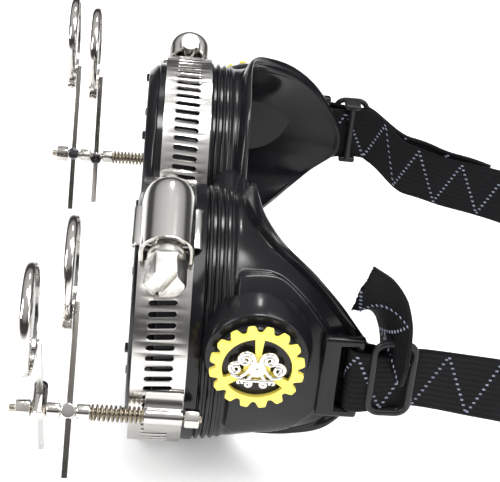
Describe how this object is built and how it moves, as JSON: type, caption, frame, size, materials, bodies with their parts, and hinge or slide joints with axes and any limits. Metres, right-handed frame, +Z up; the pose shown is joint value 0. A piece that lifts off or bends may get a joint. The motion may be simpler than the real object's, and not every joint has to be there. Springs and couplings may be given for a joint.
{
  "type": "steampunk goggles",
  "caption": "Black eyecup goggles with screw-on lens rings, steel worm-drive clamps, swing-arm loupes on sprung axles, gear ornaments and an elastic strap.",
  "frame": {"origin": "on the table, midway between the two cups, in the middle plane of the seats that the clamps grip", "axes": "+X to the wearer's left, -Y is where the lenses look, +Z up"},
  "size_m": [0.1763, 0.1895, 0.0705],
  "materials": {
    "body_pvc": "glossy soft PVC",
    "ring_plastic": "glossy moulded plastic",
    "main_glass": "clear flat lens",
    "gasket_rubber": "matte rubber",
    "band_steel": "rolled stainless strip",
    "housing_steel": "pressed stainless, polished",
    "screw_steel": "machined steel",
    "bracket_steel": "folded steel sheet",
    "axle_steel": "threaded steel",
    "nut_nickel": "nickel plated",
    "spring_steel": "dark spring wire",
    "block_nickel": "nickel plated",
    "cap_dark": "dark polished",
    "rod_steel": "drawn square bar",
    "rim_nickel": "polished nickel",
    "rim_screw_nickel": "polished nickel",
    "loupe_glass": "clear magnifier lens",
    "boss_plastic": "glossy moulded plastic",
    "gear_yellow": "satin yellow gold",
    "filigree_silver": "antique silver",
    "strap_elastic": "ribbed elastic webbing with pale stitches",
    "slider_plastic": "satin moulded plastic"
  },
  "bodies": {
    "frame": {"goggle_body": "body_pvc", "head_strap": "strap_elastic", "main_lens_left": "main_glass", "lens_gasket_left": "gasket_rubber", "clamp_band_left": "band_steel", "clamp_housing_left": "housing_steel", "loupe_bracket_left": "bracket_steel", "gear_boss_left": "boss_plastic", "gear_left": "gear_yellow", "filigree_left": "filigree_silver", "slider_left": "slider_plastic", "main_lens_right": "main_glass", "lens_gasket_right": "gasket_rubber", "clamp_band_right": "band_steel", "clamp_housing_right": "housing_steel", "loupe_bracket_right": "bracket_steel", "gear_boss_right": "boss_plastic", "gear_right": "gear_yellow", "filigree_right": "filigree_silver", "slider_right": "slider_plastic"},
    "ring_left": {"lens_ring_left": "ring_plastic"},
    "screw_left": {"worm_screw_left": "screw_steel"},
    "axle_left": {"loupe_axle_left": "axle_steel", "axle_nuts_left": "nut_nickel", "spacers_left": "block_nickel", "loupe_spring_left": "spring_steel"},
    "inner_arm_left": {"inner_block_left": "block_nickel", "inner_cap_left": "cap_dark"},
    "inner_loupe_left": {"inner_rod_left": "rod_steel", "inner_rim_left": "rim_nickel", "inner_rim_screw_left": "rim_screw_nickel", "inner_loupe_lens_left": "loupe_glass"},
    "outer_arm_left": {"outer_block_left": "block_nickel", "outer_cap_left": "cap_dark"},
    "outer_loupe_left": {"outer_rod_left": "rod_steel", "outer_rim_left": "rim_nickel", "outer_rim_screw_left": "rim_screw_nickel", "outer_loupe_lens_left": "loupe_glass"},
    "ring_right": {"lens_ring_right": "ring_plastic"},
    "screw_right": {"worm_screw_right": "screw_steel"},
    "axle_right": {"loupe_axle_right": "axle_steel", "axle_nuts_right": "nut_nickel", "spacers_right": "block_nickel", "loupe_spring_right": "spring_steel"},
    "inner_arm_right": {"inner_block_right": "block_nickel", "inner_cap_right": "cap_dark"},
    "inner_loupe_right": {"inner_rod_right": "rod_steel", "inner_rim_right": "rim_nickel", "inner_rim_screw_right": "rim_screw_nickel", "inner_loupe_lens_right": "loupe_glass"},
    "outer_arm_right": {"outer_block_right": "block_nickel", "outer_cap_right": "cap_dark"},
    "outer_loupe_right": {"outer_rod_right": "rod_steel", "outer_rim_right": "rim_nickel", "outer_rim_screw_right": "rim_screw_nickel", "outer_loupe_lens_right": "loupe_glass"}
  },
  "joints": [
    {"name": "ring_turn_left", "type": "hinge", "parent": "frame", "child": "ring_left", "pos_m": [0.0345, -0.0105, 0.03065], "axis": [0, -1, 0], "continuous": true},
    {"name": "screw_turn_left", "type": "hinge", "parent": "frame", "child": "screw_left", "pos_m": [0.04748, -0.0035, 0.06278], "axis": [-0.9272, 0, 0.3746], "continuous": true},
    {"name": "axle_push_left", "type": "slide", "parent": "frame", "child": "axle_left", "axis": [0, 1, 0], "range_m": [0, 0.0024], "stiffness_N_per_m": 400, "springref_m": -0.004, "deforming": ["loupe_spring_left"]},
    {"name": "inner_swing_left", "type": "hinge", "parent": "axle_left", "child": "inner_arm_left", "pos_m": [0.06748, -0.02245, 0.02424], "axis": [0, -1, 0], "continuous": true},
    {"name": "inner_slide_left", "type": "slide", "parent": "inner_arm_left", "child": "inner_loupe_left", "axis": [-0.6428, 0, 0.766], "range_m": [-0.016, 0.0115]},
    {"name": "outer_swing_left", "type": "hinge", "parent": "axle_left", "child": "outer_arm_left", "pos_m": [0.06748, -0.02895, 0.02424], "axis": [0, -1, 0], "continuous": true},
    {"name": "outer_slide_left", "type": "slide", "parent": "outer_arm_left", "child": "outer_loupe_left", "axis": [0.342, 0, 0.9397], "range_m": [-0.012, 0.0185]},
    {"name": "ring_turn_right", "type": "hinge", "parent": "frame", "child": "ring_right", "pos_m": [-0.0345, -0.0105, 0.03065], "axis": [0, -1, 0], "continuous": true},
    {"name": "screw_turn_right", "type": "hinge", "parent": "frame", "child": "screw_right", "pos_m": [-0.06288, 0, 0.05052], "axis": [0.5736, 0, 0.8192], "continuous": true},
    {"name": "axle_push_right", "type": "slide", "parent": "frame", "child": "axle_right", "axis": [0, 1, 0], "range_m": [0, 0.0024], "stiffness_N_per_m": 400, "springref_m": -0.004, "deforming": ["loupe_spring_right"]},
    {"name": "inner_swing_right", "type": "hinge", "parent": "axle_right", "child": "inner_arm_right", "pos_m": [-0.0652, -0.02465, 0.01698], "axis": [0, 1, 0], "continuous": true},
    {"name": "inner_slide_right", "type": "slide", "parent": "inner_arm_right", "child": "inner_loupe_right", "axis": [-0.342, 0, 0.9397], "range_m": [-0.015, 0.01]},
    {"name": "outer_swing_right", "type": "hinge", "parent": "axle_right", "child": "outer_arm_right", "pos_m": [-0.0652, -0.03115, 0.01698], "axis": [0, 1, 0], "continuous": true},
    {"name": "outer_slide_right", "type": "slide", "parent": "outer_arm_right", "child": "outer_loupe_right", "axis": [-0.5, 0, 0.866], "range_m": [-0.017, 0.013]}
  ]
}
